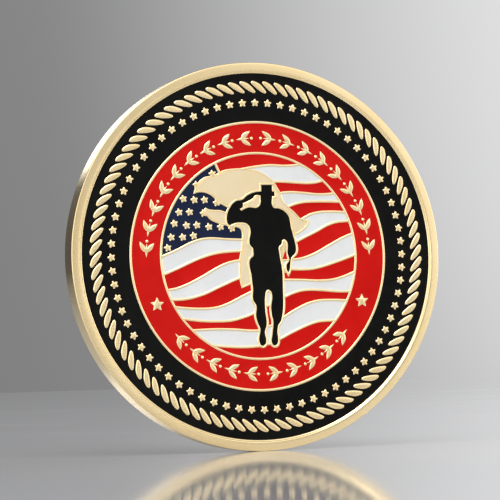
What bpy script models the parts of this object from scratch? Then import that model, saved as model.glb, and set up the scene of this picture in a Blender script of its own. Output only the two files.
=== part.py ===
"""Challenge coin: a struck, gold-plated blank whose recesses are filled with soft enamel.

The coin stands on its edge. Its axis runs along Y, the obverse faces -Y, and the origin is on the
ground below the coin's middle. Every sub-part is laid out flat, in millimetres, as (u, v) points
with u to the right and v up on its face, and in heights above the coin's middle plane. A parent
empty on the coin's axis stands the finished pieces up.
"""

import math

import bmesh
import bpy
from mathutils import Matrix

MM = 0.001  # a millimetre in metres

# Struck blank
DIAMETER = 44.45
THICKNESS = 3.0
EDGE_BEVEL = 0.12
RIM_INNER_RADIUS = 21.1
SIDES = 60  # sides of every circle; the coin rests on one of its flats
RIM_HEIGHT = THICKNESS / 2
RELIEF_HEIGHT = 1.38  # raised lines, strands, stars and silhouettes
FLOOR_HEIGHT = 1.0  # floor of the enamel recesses
CUTTER_HEIGHT = 2.0  # well above the rim, so that a cutter leaves no skin
TRIM_MARGIN = 1.0  # by which the trimming cutters pass the fills and pockets, above and below

# Enamel fills
ENAMEL_HEIGHT = 1.28
SLACK = 0.02  # kept between a fill and the metal round it

# Obverse rings, from the rim inwards
BORDER_OUTER_RADIUS = 21.0
ROPE_RADIUS = 19.395
BORDER_INNER_RADIUS = 15.46
BAND_OUTER_RADIUS = 15.21
BAND_INNER_RADIUS = 11.9
FIELD_RADIUS = 11.65

# Rope border and the ring of small stars inside it
STRANDS = 90
STRAND_SHIFT = 1.5  # degrees from the top to the middle of the first strand
STRAND_HALF = [(-0.92, 0.5), (-0.6, 0.745), (0.12, 0.4)]  # one half, along the rope and outwards
BORDER_STARS = 72
BORDER_STAR_RING_RADIUS = 17.57
BORDER_STAR_RADIUS = 0.5
BORDER_STAR_WAIST = 0.58

# Laurel sprigs and stars in the band
SPRIG_RADIUS = 13.5
SPRIG_HALF = [(-0.85, 0.0), (-0.1, 0.62), (0.85, 0.85), (0.5, 0.3), (-0.05, 0.0)]  # stem to fork
SPRIG_STEP = 10.0  # degrees
SPRIG_SHIFT = 0.6  # steps from the top or bottom of the band to the first sprig
TOP_SPRIGS = 9  # on each side of the top
BOTTOM_SPRIGS = 5  # on each side of the bottom
BAND_STAR_ANGLE = 113.4  # degrees from the top, on both sides
BAND_STAR_RADIUS = 0.78

# Flag, eagle and soldier
LINE_WIDTH = 0.26
OUTLINE_WIDTH = 0.22
CANTON_STAR_RADIUS = 0.43
CANTON_STAR_TILT = -12.0  # degrees

# Reverse
REVERSE_FIELD_HEIGHT = 1.25
MEDALLION_ENAMEL_HEIGHT = 1.17
MEDALLION_FLOOR_HEIGHT = 0.95
MEDALLION_RADIUS = 11.0
MEDALLION_STAR_RADIUS = 8.0

SOLDIER_RIGHT_SIDE = [
    (0.42, 8.13), (1.76, 8.13), (1.76, 7.35), (2.04, 7.35), (2.04, 6.8), (1.74, 6.8), (1.72, 5.75),
    (1.85, 5.52), (2.5, 5.42), (3.05, 5.17), (3.45, 4.83), (3.68, 4.45), (3.96, 3.0), (4.15, 2.3),
    (4.23, 0.08), (3.9, -0.2), (3.7, -1.0), (3.66, -1.4), (3.55, -1.75), (3.42, -2.0), (3.28, -1.75),
]
ARM_GAP = [
    (3.2, -1.4), (3.27, -1.0), (3.58, -0.6), (3.55, -0.3), (3.39, 0.2), (3.43, 1.2), (3.3, 1.7),
    (3.05, 1.87), (2.8, 1.7), (2.68, 1.25), (2.45, 1.1), (2.43, 0.1), (2.64, -1.3),
]
SOLDIER_LEGS = [
    (2.69, -1.75), (2.72, -2.3), (2.71, -3.6), (2.46, -7.1), (2.3, -7.6), (2.0, -8.0), (1.88, -8.5),
    (1.87, -10.0), (1.78, -10.2), (1.55, -10.3), (1.3, -10.23), (1.15, -10.0), (1.24, -9.0), (1.38, -8.0),
    (1.39, -7.5), (1.25, -6.85), (1.18, -6.0), (1.33, -4.5), (1.2, -4.05), (0.93, -3.88),
    (0.68, -4.05), (0.5, -4.8), (0.47, -6.2), (0.55, -8.1), (0.36, -8.6), (0.43, -10.0),
    (0.32, -10.2), (0.08, -10.3), (-0.2, -10.2), (-0.34, -9.9), (-0.25, -8.2), (-0.5, -7.65),
    (-0.68, -6.9), (-0.6, -5.8), (-0.68, -5.5), (-0.9, -5.2), (-0.94, -3.8), (-1.07, -2.4),
]
SOLDIER_LEFT_SIDE = [
    (-1.05, -0.25), (-0.82, -0.08), (-0.77, 0.5), (-0.82, 0.9), (-1.08, 1.15), (-1.05, 3.0),
    (-1.2, 3.45), (-1.5, 3.72), (-2.0, 3.82), (-2.7, 3.79), (-3.2, 3.63), (-3.55, 3.53),
    (-3.78, 3.75), (-3.85, 4.2), (-3.77, 4.8), (-3.5, 5.4), (-3.1, 5.95), (-2.6, 6.3),
    (-1.85, 6.45), (-1.4, 6.84), (-0.8, 7.15), (-0.1, 7.33), (0.42, 7.37),
]
SALUTE_GAP = [
    (0.3, 6.93), (-0.3, 6.93), (-0.65, 6.57), (-1.2, 6.27), (-1.82, 6.02), (-1.86, 5.6),
    (-2.22, 5.35), (-2.05, 5.16), (-1.65, 5.38), (-1.2, 5.54), (-0.05, 5.56), (0.2, 5.78),
    (0.31, 6.2),
]
SOLDIER_OUTLINE = SOLDIER_RIGHT_SIDE + SOLDIER_LEGS + SOLDIER_LEFT_SIDE
SOLDIER_FILL = SOLDIER_RIGHT_SIDE + ARM_GAP + SOLDIER_LEGS + SOLDIER_LEFT_SIDE

EAGLE = [
    (-4.5, 9.62), (-3.8, 9.87), (-2.8, 10.0), (-1.5, 10.02), (-0.6, 9.93), (0.3, 9.68), (1.1, 9.25),
    (1.9, 8.6), (2.4, 7.85), (2.8, 7.15), (3.15, 6.2), (3.6, 5.7), (4.4, 5.0), (5.25, 4.22),
    (5.65, 4.12), (6.2, 4.1), (6.15, 3.7), (5.8, 3.2), (5.2, 2.7), (4.4, 2.3), (3.0, 2.0),
    (0.0, 1.0), (-0.7, -3.0), (-1.3, -3.3), (-2.3, -3.7), (-2.55, -2.5), (-2.58, -1.5),
    (-2.5, -0.4), (-2.3, 0.5), (-2.13, 1.7), (-2.1, 2.7), (-2.22, 3.05), (-2.6, 3.27), (-3.3, 3.35),
    (-4.2, 3.55), (-5.2, 3.85), (-5.8, 4.15), (-6.3, 4.65), (-6.85, 4.95), (-6.35, 5.55),
    (-6.0, 5.38), (-5.4, 5.28), (-4.6, 5.25), (-3.7, 5.08), (-3.3, 5.4), (-3.95, 5.65), (-4.3, 5.87),
    (-4.9, 6.05), (-5.1, 6.4), (-5.5, 6.83), (-6.0, 7.12), (-6.6, 7.28), (-7.2, 7.26),
    (-7.75, 7.08), (-7.6, 7.6), (-7.35, 8.1), (-6.9, 8.65), (-6.3, 9.03), (-5.5, 9.2), (-4.9, 9.38),
]

# The lines between the flag's stripes run from left to right and end beyond the ring or under a
# silhouette, which trim them.
LEFT_LINES = [
    [(-12.4, -0.25), (-10.0, 0.7), (-8.0, 1.62), (-7.0, 1.93), (-6.0, 2.04), (-4.0, 1.93),
     (-1.6, 1.83)],
    [(-12.4, -2.35), (-10.0, -1.38), (-7.0, -0.13), (-6.0, 0.17), (-5.0, 0.38), (-3.5, 0.53),
     (-1.6, 0.58)],
    [(-12.4, -3.95), (-11.0, -3.75), (-10.0, -3.58), (-9.0, -3.25), (-7.0, -2.33), (-5.0, -1.25),
     (-4.0, -0.83), (-3.0, -0.58), (-1.6, -0.45)],
    [(-12.4, -4.7), (-10.6, -4.85), (-9.0, -4.79), (-7.0, -4.33), (-5.0, -3.5), (-3.0, -2.67),
     (-1.6, -2.2)],
    [(-12.4, -5.4), (-10.2, -5.7), (-8.0, -5.9), (-6.0, -5.9), (-5.0, -5.75), (-4.0, -5.42),
     (-2.0, -4.5), (0.1, -3.55)],
    [(-12.4, -6.5), (-9.4, -7.0), (-7.5, -7.27), (-5.5, -7.38), (-3.7, -7.33), (-2.0, -6.93),
     (0.1, -6.15)],
    [(-12.4, -8.6), (-8.25, -8.35), (-5.5, -8.28), (-3.0, -8.38), (-1.5, -8.52), (0.1, -8.54)],
    [(-12.4, -8.9), (-6.1, -10.08), (-4.0, -10.29), (-2.0, -10.38), (0.1, -10.28)],
]
RIGHT_LINES = [
    [(-1.8, 9.95), (-0.5, 10.17), (1.5, 10.39), (3.5, 10.33), (5.0, 10.45), (6.5, 10.9)],
    [(1.0, 8.5), (3.0, 8.5), (5.0, 8.38), (6.0, 8.33), (7.0, 8.4), (9.0, 8.9)],
    [(2.3, 7.0), (2.8, 7.17), (4.0, 7.28), (5.5, 7.2), (7.5, 7.02), (9.2, 7.12), (10.5, 7.4)],
    [(2.8, 5.25), (4.5, 5.92), (5.5, 6.13), (7.0, 6.2), (9.0, 6.19), (11.0, 6.1)],
    [(4.4, 3.65), (5.3, 4.17), (6.5, 4.75), (7.5, 4.96), (9.0, 5.02), (11.5, 4.88)],
    [(3.6, 1.1), (5.0, 1.82), (7.0, 2.75), (8.5, 3.5), (9.5, 3.8), (10.3, 3.88), (12.4, 3.98)],
    [(3.2, -0.5), (4.08, -0.48), (5.0, -0.38), (6.5, 0.08), (8.5, 1.08), (10.5, 2.08), (12.4, 2.75)],
    [(3.2, -1.55), (5.0, -1.62), (6.5, -1.54), (7.5, -1.33), (9.5, -0.75), (12.4, 0.23)],
    [(2.2, -2.76), (5.0, -2.84), (7.5, -2.94), (9.0, -2.83), (10.0, -2.58), (12.4, -1.65)],
    [(2.2, -5.05), (4.0, -4.29), (5.0, -4.04), (6.0, -3.97), (7.5, -4.04), (9.5, -4.22), (12.4, -4.2)],
    [(1.9, -7.6), (4.0, -6.33), (5.0, -5.85), (6.0, -5.46), (7.0, -5.25), (8.5, -5.2), (12.4, -5.45)],
    [(1.5, -9.86), (4.0, -8.67), (6.0, -7.88), (7.0, -7.63), (8.0, -7.57), (10.5, -7.55)],
]
CROTCH_LINE = [(0.1, -3.4), (1.7, -3.4)]
LEG_LINES = [
    [(0.1, -5.8), (1.7, -5.6)],
    [(0.1, -8.15), (1.7, -7.95)],
    [(0.1, -10.1), (1.7, -10.1)],
]
CANTON_EDGE = [(-4.45, 9.3), (-5.3, 11.1)]  # line between the canton and the top stripe
CANTON_BEHIND_EAGLE = [(-1.6, 3.6), (-2.5, 5.0), (-3.0, 8.0)]
CANTON_BEYOND_RING = [(-13.0, 11.1)]
TOP_BEYOND_RING = [(6.5, 12.5), (-5.1, 12.5)]
BOTTOM_BEYOND_RING = [(10.5, -13.0), (-12.4, -13.0)]
ARM_GAP_CELLS = {
    7: [(3.14, 0.62), (3.36, -0.42), (2.76, -0.42)],
    8: [(2.78, -0.66), (3.3, -0.66), (3.05, -1.0), (2.98, -1.4), (2.9, -1.4)],
}
CANTON_STARS = [
    (-8.95, 6.55), (-7.65, 6.42), (-6.42, 6.42), (-9.5, 5.02), (-8.25, 5.05), (-10.1, 3.75),
    (-8.65, 3.52), (-7.42, 3.55), (-6.0, 3.35), (-10.5, 2.2), (-9.15, 2.2), (-7.85, 2.35),
    (-10.95, 1.0),
]

GOLD = (0.83, 0.64, 0.33, 1.0)
BLACK = (0.008, 0.008, 0.008, 1.0)
RED = (0.52, 0.008, 0.006, 1.0)
WHITE = (0.72, 0.73, 0.71, 1.0)
NAVY = (0.012, 0.016, 0.045, 1.0)


# ---------------------------------------------------------------- outlines on a face


def polar(radius, degrees):
    """Point at a clockwise angle from the top of the face."""
    angle = math.radians(degrees)
    return (radius * math.sin(angle), radius * math.cos(angle))


def circle(radius):
    """Circle with a flat, not a corner, at its top, bottom and sides."""
    step = 360 / SIDES
    return [polar(radius, (index + 0.5) * step) for index in range(SIDES)]


def star(centre, radius, tilt=0.0, waist=0.5):
    """Five-pointed star; its waist is the inner corners' share of the radius."""
    points = []
    for index in range(10):
        reach = radius if index % 2 == 0 else radius * waist
        u, v = polar(reach, tilt + 36 * index)
        points.append((centre[0] + u, centre[1] + v))
    return points


def bend(radius, degrees, shape):
    """Shape of (along, outward) points, bent round the face at a radius."""
    return [
        polar(radius + outward, degrees + math.degrees(along / radius)) for along, outward in shape
    ]


def strand(index):
    """One strand of the rope: a slanted petal whose second half is the first one turned round."""
    shape = STRAND_HALF + [(-along, -outward) for along, outward in STRAND_HALF]
    return bend(ROPE_RADIUS, STRAND_SHIFT + 360 / STRANDS * index, shape)


def border_star(index):
    """Small star that points outwards."""
    degrees = 360 / BORDER_STARS * index
    centre = polar(BORDER_STAR_RING_RADIUS, degrees)
    return star(centre, BORDER_STAR_RADIUS, degrees, BORDER_STAR_WAIST)


def sprig(degrees, direction):
    """Pair of laurel leaves that open towards the given direction round the band."""
    shape = SPRIG_HALF + [(along, -outward) for along, outward in SPRIG_HALF[-2:0:-1]]
    return bend(SPRIG_RADIUS, degrees, [(direction * along, outward) for along, outward in shape])


def band_ornament():
    """Outlines of the two stars and the laurel garland between them."""
    outlines = []
    for side in (1, -1):
        outlines.append(star(polar(SPRIG_RADIUS, side * BAND_STAR_ANGLE), BAND_STAR_RADIUS))
        for index in range(TOP_SPRIGS):
            outlines.append(sprig(side * SPRIG_STEP * (index + SPRIG_SHIFT), -side))
        for index in range(BOTTOM_SPRIGS):
            outlines.append(sprig(180 - side * SPRIG_STEP * (index + SPRIG_SHIFT), side))
    return outlines


def grow(outline, distance):
    """Outline with each side moved outwards by a distance; a negative one moves it inwards."""
    previous = outline[-1:] + outline[:-1]
    following = outline[1:] + outline[:1]
    area = sum(a[0] * b[1] - b[0] * a[1] for a, b in zip(outline, following))
    outward = distance if area > 0 else -distance
    return [mitre(*corner, outward) for corner in zip(previous, outline, following)]


def mitre(before, here, after, distance):
    """Corner moved to the right of its path so that both sides shift by the distance."""
    first, second = side_normal(before, here), side_normal(here, after)
    share = distance / (1 + first[0] * second[0] + first[1] * second[1])
    return (here[0] + (first[0] + second[0]) * share, here[1] + (first[1] + second[1]) * share)


def side_normal(start, end):
    """Unit vector to the right of the way from start to end."""
    run, rise = end[0] - start[0], end[1] - start[1]
    length = math.hypot(run, rise)
    return (rise / length, -run / length)


def shift(line, distance):
    """Open line moved upwards by a distance, square to its run."""
    before = [(2 * line[0][0] - line[1][0], 2 * line[0][1] - line[1][1])] + line[:-1]
    after = line[1:] + [(2 * line[-1][0] - line[-2][0], 2 * line[-1][1] - line[-2][1])]
    return [mitre(*corner, -distance) for corner in zip(before, line, after)]


def between(upper, lower, inset):
    """Stripe between two lines, kept an inset away from both."""
    return shift(upper, -inset) + shift(lower, inset)[::-1]


# ---------------------------------------------------------------- solids


def material(name, colour, metallic, roughness):
    made = bpy.data.materials.new(name)
    made.use_nodes = True
    shader = made.node_tree.nodes["Principled BSDF"]
    shader.inputs["Base Color"].default_value = colour
    shader.inputs["Metallic"].default_value = metallic
    shader.inputs["Roughness"].default_value = roughness
    return made


def standing(name, mesh, collection, parent):
    """Object of a mesh that was laid out flat, stood up with the coin."""
    mesh.shade_smooth()
    mesh.set_sharp_from_angle(angle=math.radians(30))
    piece = bpy.data.objects.new(name, mesh)
    collection.objects.link(piece)
    piece.parent = parent
    return piece


def plate(name, outlines, low, high, collection, parent):
    """Flat solid between two heights; outlines inside another are holes."""
    curve = bpy.data.curves.new(name, "CURVE")
    curve.dimensions = "2D"
    curve.fill_mode = "BOTH"
    curve.extrude = (high - low) / 2
    for outline in outlines:
        spline = curve.splines.new("POLY")
        spline.points.add(len(outline) - 1)
        for point, (u, v) in zip(spline.points, outline):
            point.co = (u, v, 0.0, 1.0)
        spline.use_cyclic_u = True
    guide = bpy.data.objects.new(name, curve)
    collection.objects.link(guide)
    evaluated = guide.evaluated_get(bpy.context.evaluated_depsgraph_get())
    mesh = bpy.data.meshes.new_from_object(evaluated)
    bpy.data.curves.remove(curve)
    form = bmesh.new()
    form.from_mesh(mesh)
    bmesh.ops.remove_doubles(form, verts=form.verts, dist=0.0001)
    bmesh.ops.dissolve_limit(form, angle_limit=0.001, edges=form.edges)
    bmesh.ops.recalc_face_normals(form, faces=form.faces)
    form.to_mesh(mesh)
    form.free()
    mesh.transform(Matrix.Scale(MM, 4) @ Matrix.Translation((0, 0, (low + high) / 2)))
    return standing(name, mesh, collection, parent)


def boolean(piece, operation, other):
    modifier = piece.modifiers.new(operation.title(), "BOOLEAN")
    modifier.operation = operation
    modifier.solver = "EXACT"
    modifier.object = other
    return modifier


class Coin:
    """The coin's collections, its axis and the shapes that several sub-parts share."""

    def __init__(self):
        scene = bpy.context.scene.collection
        self.parts = bpy.data.collections.new("challenge_coin")
        self.cutters = bpy.data.collections.new("cutters")
        self.pockets = bpy.data.collections.new("pockets")
        for collection in (self.parts, self.cutters, self.pockets):
            scene.children.link(collection)
        self.axis = bpy.data.objects.new("coin_axis", None)
        self.axis.location = (0, 0, DIAMETER / 2 * MM)
        self.axis.rotation_euler = (math.pi / 2, 0, 0)
        self.parts.objects.link(self.axis)
        self.trims = {slack: self.trimming_cutters(slack) for slack in (0.0, SLACK)}
        self.enamels = {
            "black": material("black_enamel", BLACK, 0.0, 0.15),
            "red": material("red_enamel", RED, 0.0, 0.18),
            "white": material("white_enamel", WHITE, 0.0, 0.2),
            "navy": material("navy_enamel", NAVY, 0.0, 0.15),
        }
        self.gold = material("gold_plate", GOLD, 1.0, 0.25)

    def cutter(self, name, outlines, low, high, collection=None):
        made = plate(name, outlines, low, high, collection or self.cutters, self.axis)
        made.hide_render = True
        made.display_type = "WIRE"
        return made

    def trimming_cutters(self, slack):
        """Field disc, eagle and outlined soldier that trim the flag's enamel cells."""
        kind = "fill" if slack else "pocket"
        soldier = grow(SOLDIER_OUTLINE, OUTLINE_WIDTH + slack)
        depth = (FLOOR_HEIGHT - TRIM_MARGIN, CUTTER_HEIGHT + TRIM_MARGIN)
        return {
            "field": self.cutter(f"{kind}_field", [circle(FIELD_RADIUS - slack)], *depth),
            "eagle": self.cutter(f"{kind}_eagle", [grow(EAGLE, slack)], *depth),
            "soldier": self.cutter(f"{kind}_soldier", [soldier], *depth),
        }

    def cell(self, name, colour, outlines, trims=()):
        """Enamel fill and the pocket for it; outlines(slack) gives the cell's outlines."""
        fill = plate(
            name, outlines(SLACK), FLOOR_HEIGHT + SLACK, ENAMEL_HEIGHT, self.parts, self.axis
        )
        fill.data.materials.append(self.enamels[colour])
        pocket = self.cutter(
            f"{name}_pocket", outlines(0.0), FLOOR_HEIGHT, CUTTER_HEIGHT, self.pockets
        )
        for piece, slack in ((fill, SLACK), (pocket, 0.0)):
            for trim in trims:
                operation = "INTERSECT" if trim == "field" else "DIFFERENCE"
                boolean(piece, operation, self.trims[slack][trim])
        return fill


# ---------------------------------------------------------------- sub-parts


def ring_outlines(outer, inner, raised):
    """Ring-shaped cell with raised metal shapes standing in it."""

    def outlines(slack):
        holes = [grow(shape, slack) for shape in raised]
        return [circle(outer - slack), circle(inner + slack)] + holes

    return outlines


def add_rings(coin):
    strands = [strand(index) for index in range(STRANDS)]
    stars = [border_star(index) for index in range(BORDER_STARS)]
    border = ring_outlines(BORDER_OUTER_RADIUS, BORDER_INNER_RADIUS, strands + stars)
    coin.cell("border_enamel", "black", border)
    band = ring_outlines(BAND_OUTER_RADIUS, BAND_INNER_RADIUS, band_ornament())
    coin.cell("band_enamel", "red", band)


def add_soldier(coin):
    def outlines(slack):
        return [grow(SOLDIER_FILL, -slack), grow(SALUTE_GAP, slack)]

    coin.cell("soldier_enamel", "black", outlines)


def add_canton(coin):
    def outlines(slack):
        inset = LINE_WIDTH / 2 + slack
        bottom = shift(LEFT_LINES[0], inset)
        edge = shift(CANTON_EDGE, inset)
        field = bottom + CANTON_BEHIND_EAGLE + edge + CANTON_BEYOND_RING
        stars = [
            grow(star(centre, CANTON_STAR_RADIUS, CANTON_STAR_TILT), slack)
            for centre in CANTON_STARS
        ]
        return [field] + stars

    coin.cell("canton_enamel", "navy", outlines, ("field", "eagle", "soldier"))


def stripe_name(number, side):
    colour = "red" if number % 2 else "white"
    return f"stripe_{number:02d}_{colour}_{side}", colour


def add_stripes(coin):
    """Thirteen stripes, numbered from the top; the silhouettes split most of them."""
    inset = LINE_WIDTH / 2

    def add(number, side, upper, lower, trims):
        name, colour = stripe_name(number, side)
        coin.cell(name, colour, lambda slack: [between(upper, lower, inset + slack)], trims)

    for index, (upper, lower) in enumerate(zip(RIGHT_LINES, RIGHT_LINES[1:])):
        add(index + 2, "right", upper, lower, ("field", "eagle", "soldier"))
    for index, (upper, lower) in enumerate(zip(LEFT_LINES, LEFT_LINES[1:])):
        add(index + 6, "left", upper, lower, ("field", "eagle", "soldier"))
    for index, (upper, lower) in enumerate(zip([CROTCH_LINE] + LEG_LINES, LEG_LINES)):
        add(index + 10, "between_legs", upper, lower, ("soldier",))

    def top_cap(slack):
        line = shift(RIGHT_LINES[0], inset + slack)
        edge = shift(CANTON_EDGE, -inset - slack)
        return [line + TOP_BEYOND_RING + edge[::-1]]

    def bottom_cap(slack):
        line = []
        for over in (LEFT_LINES[-1], LEG_LINES[-1], RIGHT_LINES[-1]):
            line += shift(over, -inset - slack)
        return [line + BOTTOM_BEYOND_RING]

    coin.cell("stripe_01_red_top", "red", top_cap, ("field", "eagle"))
    coin.cell("stripe_13_red_bottom", "red", bottom_cap, ("field", "soldier"))
    for number, shape in ARM_GAP_CELLS.items():
        name, colour = stripe_name(number, "inside_arm")
        coin.cell(name, colour, lambda slack, shape=shape: [grow(shape, -slack)])


def add_reverse(coin):
    """Navy medallion with a raised star; returns what is cut from the blank's reverse."""
    star_shape = star((0.0, 0.0), MEDALLION_STAR_RADIUS)
    field = coin.cutter(
        "reverse_field", [circle(RIM_INNER_RADIUS)], -CUTTER_HEIGHT, -REVERSE_FIELD_HEIGHT
    )
    pocket = coin.cutter(
        "medallion_pocket",
        [circle(MEDALLION_RADIUS), star_shape],
        -CUTTER_HEIGHT,
        -MEDALLION_FLOOR_HEIGHT,
    )
    fill = plate(
        "medallion_enamel",
        [circle(MEDALLION_RADIUS - SLACK), grow(star_shape, SLACK)],
        -MEDALLION_ENAMEL_HEIGHT,
        -MEDALLION_FLOOR_HEIGHT - SLACK,
        coin.parts,
        coin.axis,
    )
    fill.data.materials.append(coin.enamels["navy"])
    return field, pocket


def add_body(coin, reverse_cutters):
    """Struck body: the blank less the field inside its rim and every enamel pocket."""
    form = bmesh.new()
    corner_radius = DIAMETER / 2 / math.cos(math.pi / SIDES)
    bmesh.ops.create_cone(
        form,
        cap_ends=True,
        segments=SIDES,
        radius1=corner_radius,
        radius2=corner_radius,
        depth=THICKNESS,
        matrix=Matrix.Rotation(math.pi / SIDES, 4, "Z"),
    )
    mesh = bpy.data.meshes.new("struck_body")
    form.to_mesh(mesh)
    form.free()
    mesh.transform(Matrix.Scale(MM, 4))
    mesh.materials.append(coin.gold)
    body = standing("struck_body", mesh, coin.parts, coin.axis)
    bevel = body.modifiers.new("Edge bevel", "BEVEL")
    bevel.width = EDGE_BEVEL * MM
    bevel.segments = 1
    bevel.limit_method = "ANGLE"
    bevel.angle_limit = math.radians(60)
    obverse_field = coin.cutter(
        "obverse_field", [circle(RIM_INNER_RADIUS)], RELIEF_HEIGHT, CUTTER_HEIGHT
    )
    for cutter in (obverse_field, *reverse_cutters):
        boolean(body, "DIFFERENCE", cutter)
    pockets = boolean(body, "DIFFERENCE", None)
    pockets.operand_type = "COLLECTION"
    pockets.collection = coin.pockets


def main():
    for existing in list(bpy.data.objects):
        bpy.data.objects.remove(existing)
    coin = Coin()
    add_rings(coin)
    add_soldier(coin)
    add_canton(coin)
    add_stripes(coin)
    add_body(coin, add_reverse(coin))


main()
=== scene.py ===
"""Looks of the challenge coin: finely struck gold relief and glossy enamel, built round the CAD.

Each face of the coin is a flat map in millimetres, with u to the right and v up as one looks at that
face. Outlines split the map into regions of raised metal, lower metal and enamel. The map is cut into
triangles, and each point gets a height from its region and its distance to the nearest outline, so
that raised metal has rounded shoulders and enamel climbs a little at its edge.
"""

import math

import bpy
import numpy as np
from mathutils import Matrix, Vector, geometry
from mathutils.bvhtree import BVHTree


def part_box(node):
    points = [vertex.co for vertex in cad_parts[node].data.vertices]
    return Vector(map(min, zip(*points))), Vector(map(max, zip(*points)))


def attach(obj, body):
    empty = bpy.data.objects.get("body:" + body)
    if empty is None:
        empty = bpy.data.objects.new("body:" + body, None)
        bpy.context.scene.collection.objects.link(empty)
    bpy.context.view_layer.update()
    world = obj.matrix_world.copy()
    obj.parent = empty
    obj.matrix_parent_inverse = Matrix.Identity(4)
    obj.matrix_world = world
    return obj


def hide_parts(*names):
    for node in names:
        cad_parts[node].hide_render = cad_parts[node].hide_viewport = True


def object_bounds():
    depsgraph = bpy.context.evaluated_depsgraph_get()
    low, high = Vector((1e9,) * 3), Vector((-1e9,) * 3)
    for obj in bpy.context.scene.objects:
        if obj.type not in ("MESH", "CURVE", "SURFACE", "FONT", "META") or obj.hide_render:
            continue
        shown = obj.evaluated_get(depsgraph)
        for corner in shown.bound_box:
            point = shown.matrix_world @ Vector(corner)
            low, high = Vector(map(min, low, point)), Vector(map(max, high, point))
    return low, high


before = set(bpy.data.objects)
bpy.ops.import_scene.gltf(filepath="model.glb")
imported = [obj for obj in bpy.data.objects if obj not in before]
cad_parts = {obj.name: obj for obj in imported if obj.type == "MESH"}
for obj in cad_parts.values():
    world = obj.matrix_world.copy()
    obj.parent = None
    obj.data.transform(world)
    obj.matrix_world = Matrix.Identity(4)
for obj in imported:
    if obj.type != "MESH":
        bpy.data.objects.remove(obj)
cad_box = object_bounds()

MM = 0.001  # a millimetre in metres

# ---------------------------------------------------------------- sizes, in millimetres

RADIUS = (cad_box[1].z - cad_box[0].z) / 2 / MM
RIM_HEIGHT = (cad_box[1].y - cad_box[0].y) / 2 / MM  # heights are measured from the middle plane
ENAMEL_HEIGHT = -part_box("border_enamel")[0].y / MM
FILL_GAP = 0.02  # between a fill and the floor under it
FLOOR_HEIGHT = -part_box("border_enamel")[1].y / MM - FILL_GAP
RELIEF_HEIGHT = 1.38
RECESS_HEIGHT = 1.35  # satin ground inside the eagle's raised outline
REVERSE_ENAMEL_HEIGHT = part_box("medallion_enamel")[1].y / MM
REVERSE_FLOOR_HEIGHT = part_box("medallion_enamel")[0].y / MM - FILL_GAP
REVERSE_FIELD_HEIGHT = 1.25
REVERSE_RELIEF_HEIGHT = 1.38

RIM_INNER_RADIUS = 21.1
RIM_FLAT_START = 21.3
INNER_CURVE = 0.16  # radius of the rounding at the rim's inner edge
INNER_CURVE_SWEEP = 52.0  # degrees
EDGE_BEVEL = 0.12
RIM_CROWN = 0.05  # fall of the rim's flat from its inner to its outer edge
CROWN_PARTS = 4
CROWN_SLOPE_SHARE = 0.6  # of the fall that is even; the rest grows outwards
RIM_FLAT_WIDTH = RADIUS - EDGE_BEVEL - RIM_FLAT_START
SIDES = 240  # of every circle
ARC_PARTS = 5  # straight parts in the section of a rounding
CURVE_STEP = 0.2  # between the points of a curve
CURVE_CORNER = 60.0  # degrees of turn above which a curve keeps a sharp corner
SHOULDER_WIDTH = 0.13  # rounding along the top edges of raised metal
SHOULDER_DROP = 0.06
SHOULDER_POWER = 1.5
MENISCUS_WIDTH = 0.16  # climb of enamel towards the metal round it
MENISCUS_RISE = 0.028
RECESS_RISE = 0.007  # climb of a satin ground towards its outline
METAL_ROWS = (0.0148, 0.085, 0.13)  # distances from an outline at which the map gets more points
FILL_ROWS = (0.03, 0.08, 0.16)
ROW_FREEDOM = 0.93  # share of a row's distance that its points keep from every other outline
MERGE_DISTANCE = 0.0001
WELD_DECIMALS = 4
SHARP_ANGLE = 40.0  # degrees
FLATNESS = 80  # how strongly large faces set the normals at their corners
LEAST_MITRE = 0.05  # keeps a very sharp corner from moving away
STAR_TIPS = 5
TIP_TURNS = (-90, -45, 0, 45, 90)  # degrees round a star's blunt tip at which it has points

# Obverse rings, from the rim inwards
BORDER_OUTER_RADIUS = 21.0
ROPE_RADIUS = 19.395
BORDER_INNER_RADIUS = 15.46
BAND_OUTER_RADIUS = 15.21
BAND_INNER_RADIUS = 11.9
FIELD_RADIUS = 11.65

STRANDS = 90
STRAND_SHIFT = 1.5  # degrees
STRAND = [  # along the rope and outwards
    (-0.64, 0.17), (-0.85, 0.38), (-0.92, 0.54), (-0.84, 0.66), (-0.62, 0.69), (-0.28, 0.59),
    (0.09, 0.4), (0.48, 0.05), (0.77, -0.28), (0.93, -0.56), (0.89, -0.68), (0.7, -0.69),
    (0.44, -0.6), (0.2, -0.47), (-0.1, -0.28), (-0.4, -0.05),
]
SMALL_STAR = {"waist": 0.59, "blunt": 0.22}
BORDER_STARS = 72
BORDER_STAR_RING_RADIUS = 17.57
BORDER_STAR_RADIUS = 0.46

SPRIG_RADIUS = 13.5
SPRIG_STEP = 10.0  # degrees
TOP_SPRIGS = 9  # on each side of the top
BOTTOM_SPRIGS = 5  # on each side of the bottom
SPRIG_SHIFT = 0.6  # steps from the top or bottom to the first sprig
BAND_GARLAND = (SPRIG_RADIUS, SPRIG_STEP, SPRIG_SHIFT, 1.0)  # the last is the sprigs' scale
BAND_STAR_ANGLE = 113.4  # degrees
BAND_STAR_RADIUS = 0.79
LEAF_HALF = [(0.0, 0.0), (0.2, 0.12), (0.45, 0.18), (0.75, 0.12), (1.0, 0.0)]  # of a leaf 1 long
LEAF_STEP = 0.08
BERRY_RADIUS = 0.16
BERRY_SIDES = 12

LINE_WIDTH = 0.26
OUTLINE_WIDTH = 0.22
SALUTE_OUTLINE_WIDTH = 0.17
CANTON_STAR_RADIUS = 0.45
CANTON_STAR_TILT = -12.0

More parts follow.
